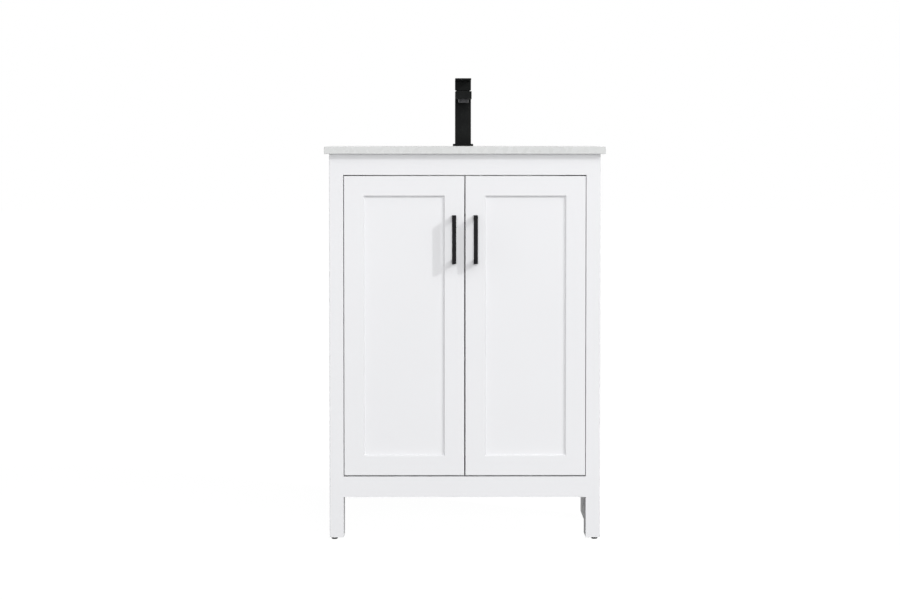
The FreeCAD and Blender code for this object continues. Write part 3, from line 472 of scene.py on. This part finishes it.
def finish_piece(name, bm, body, slot, materials):
    """Turn a bmesh into a smooth-shaded piece that rides on a body."""
    bmesh.ops.recalc_face_normals(bm, faces=bm.faces)
    mesh = bpy.data.meshes.new(name)
    bm.to_mesh(mesh)
    bm.free()
    for face in mesh.polygons:
        face.use_smooth = True
    piece = bpy.data.objects.new(name, mesh)
    bpy.context.collection.objects.link(piece)
    edges = piece.modifiers.new("crisp_edges", "EDGE_SPLIT")
    edges.split_angle = math.radians(CRISP_ANGLE)
    mesh.materials.append(materials[slot])
    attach(piece, body)


def capsule(bm, centre, along, radius, length):
    """Bar with round ends; along is the direction of its length."""
    made = bmesh.ops.create_uvsphere(bm, u_segments=8, v_segments=6, radius=radius)["verts"]
    turn = Vector(along).to_track_quat("Z", "Y").to_matrix()
    for vert in made:
        if abs(vert.co.z) > radius * 0.01:
            vert.co.z += math.copysign(length / 2 - radius, vert.co.z)
        vert.co = turn @ vert.co + Vector(centre)


def screw_cap(bm, seat, normal, radius, height):
    """Domed head with a cross recess cut in its grid."""
    turn = Vector(normal).to_track_quat("Z", "Y").to_matrix()
    rows = []
    for v in CAP_GRID:
        row = []
        for u in CAP_GRID:
            x = u * math.sqrt(1 - v * v / 2)
            y = v * math.sqrt(1 - u * u / 2)
            spread = x * x + y * y
            z = height * (1 - CAP_DROP * spread * spread)
            if min(abs(u), abs(v)) < SLOT_HALF and max(abs(u), abs(v)) < SLOT_REACH:
                z = height * SLOT_FLOOR
            row.append(bm.verts.new(turn @ Vector((x * radius, y * radius, z)) + Vector(seat)))
        rows.append(row)
    last = len(CAP_GRID) - 1
    for low, high in zip(rows, rows[1:]):
        for k in range(last):
            bm.faces.new((low[k], low[k + 1], high[k + 1], high[k]))
    rim = ([rows[0][k] for k in range(last)] + [rows[k][last] for k in range(last)]
           + [rows[last][last - k] for k in range(last)] + [rows[last - k][0] for k in range(last)])
    flat = Vector(normal)
    base = [bm.verts.new(vert.co - flat * (vert.co - Vector(seat)).dot(flat)) for vert in rim]
    for k in range(len(rim)):
        after = (k + 1) % len(rim)
        bm.faces.new((rim[after], rim[k], base[k], base[after]))
    bm.faces.new(base)


def thread(bm, centre_y, low, high, root, crest, pitch):
    """Helical ridge with a triangular section, round a shank that stands at x = 0."""
    steps_per_turn, run_out_steps = 40, 10
    lead, sunk = 0.0001, 0.0004
    count = int((high - low) / pitch * steps_per_turn)
    half = pitch * 0.38
    previous = None
    for k in range(count + 1):
        angle = 2 * math.pi * k / steps_per_turn
        z = low + half + (high - low - 2 * half) * k / count
        fade = min(1.0, k / run_out_steps, (count - k) / run_out_steps)
        tip = root + lead + (crest - root) * fade
        section = [(root - sunk, -half), (tip, 0.0), (root - sunk, half)]
        ring = [bm.verts.new((r * math.cos(angle), centre_y + r * math.sin(angle), z + dz))
                for r, dz in section]
        if previous:
            for j in range(3):
                nxt = (j + 1) % 3
                bm.faces.new((previous[j], previous[nxt], ring[nxt], ring[j]))
        else:
            bm.faces.new(ring)
        previous = ring
    bm.faces.new(previous)


def middle(low, high):
    return (low + high) / 2


def make_back_staples(materials):
    """Wire staples that hold the back panel to the rails and legs."""
    low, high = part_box("back_panel")
    inset, side_inset, spacing, crown, wire = 0.009, 0.0063, 0.062, 0.011, 0.0006
    bm = bmesh.new()
    across = int((high.x - low.x - 2 * inset) / spacing)
    for k in range(across + 1):
        x = low.x + 2 * inset + (high.x - low.x - 4 * inset) * k / across
        tilt = 0.06 if k % 3 else -0.1
        for z in (low.z + inset, high.z - inset):
            capsule(bm, (x, high.y, z), (1, 0, tilt), wire, crown)
    upward = int((high.z - low.z - 2 * inset) / spacing)
    for k in range(1, upward):
        z = low.z + inset + (high.z - low.z - 2 * inset) * k / upward
        tilt = 0.05 if k % 2 else -0.07
        for x in (low.x + side_inset, high.x - side_inset):
            capsule(bm, (x, high.y, z), (tilt, 0, 1), wire, crown)
    finish_piece("back_staples", bm, "cabinet", "plated_steel", materials)


def make_hinge_adjusters(materials):
    """Two adjusting screws on each hinge arm's foot."""
    plate_thick, arm_thick, arm_half_width = 0.0015, 0.0018, 0.0046
    front_inset, back_inset = 0.0075, 0.0085
    low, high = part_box("hinge_arms")
    plates_low, plates_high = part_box("hinge_plates")
    foot_x = plates_high.x - plate_thick - arm_thick
    bm = bmesh.new()
    for z in (low.z + arm_half_width, high.z - arm_half_width):
        for side in (-1, 1):
            for y in (plates_low.y + front_inset, plates_high.y - back_inset):
                screw_cap(bm, (side * foot_x, y, z), (-side, 0, 0), radius=0.0034, height=0.0015)
    finish_piece("hinge_adjusters", bm, "cabinet", "plated_steel", materials)


def make_threads(materials):
    """Screw threads on the mixer's shank and on the drain's sleeve, where they show."""
    end_gap = 0.0003
    shank_low, shank_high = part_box("mixer_shank")
    nut_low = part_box("mixer_nut")[0].z
    bm = bmesh.new()
    radius = (shank_high.x - shank_low.x) / 2
    thread(bm, middle(shank_low.y, shank_high.y), shank_low.z + 0.001, nut_low - end_gap,
           root=radius, crest=radius + 0.0004, pitch=0.0015)
    finish_piece("shank_thread", bm, "cabinet", "shank_brass", materials)
    tail_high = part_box("drain_tailpiece")[1].z
    nut_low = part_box("drain_nut")[0].z
    centre_y = middle(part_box("drain_tailpiece")[0].y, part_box("drain_tailpiece")[1].y)
    bm = bmesh.new()
    thread(bm, centre_y, tail_high + end_gap, nut_low - end_gap, root=0.021, crest=0.0214, pitch=0.0018)
    finish_piece("sleeve_thread", bm, "cabinet", "chrome_trim", materials)


def make_collar_ribs(materials):
    """Grip ribs round the drain tail's collar."""
    count = 28
    low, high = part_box("drain_tailpiece")
    radius = (high.x - low.x) / 2
    centre_y = middle(low.y, high.y)
    bm = bmesh.new()
    for k in range(count):
        angle = 2 * math.pi * k / count
        place = (radius * math.cos(angle), centre_y + radius * math.sin(angle), high.z - 0.010)
        capsule(bm, place, (0, 0, 1), radius=0.0007, length=0.014)
    finish_piece("collar_ribs", bm, "cabinet", "drain_plastic", materials)


def make_aerator_screen(materials):
    """Woven wire screen inside the aerator's mouth."""
    low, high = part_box("mixer_aerator")
    centre_y = middle(low.y, high.y)
    mouth, step, wire = 0.0083, 0.0015, 0.00028
    bm = bmesh.new()
    for k in range(-5, 6):
        length = 2 * math.sqrt(mouth * mouth - (k * step) ** 2)
        capsule(bm, (k * step, centre_y, low.z + 0.0020), (0, 1, 0), wire, length)
        capsule(bm, (0, centre_y + k * step, low.z + 0.0025), (1, 0, 0), wire, length)
    finish_piece("aerator_screen", bm, "cabinet", "plated_steel", materials)


make_camera()
make_world()
make_floor()
make_backdrop()
make_lamps()
bpy.context.scene.view_settings.view_transform = "Standard"
materials = make_materials()
dress_nodes(materials)
soften_edges()
make_back_staples(materials)
make_hinge_adjusters(materials)
make_threads(materials)
make_collar_ribs(materials)
make_aerator_screen(materials)
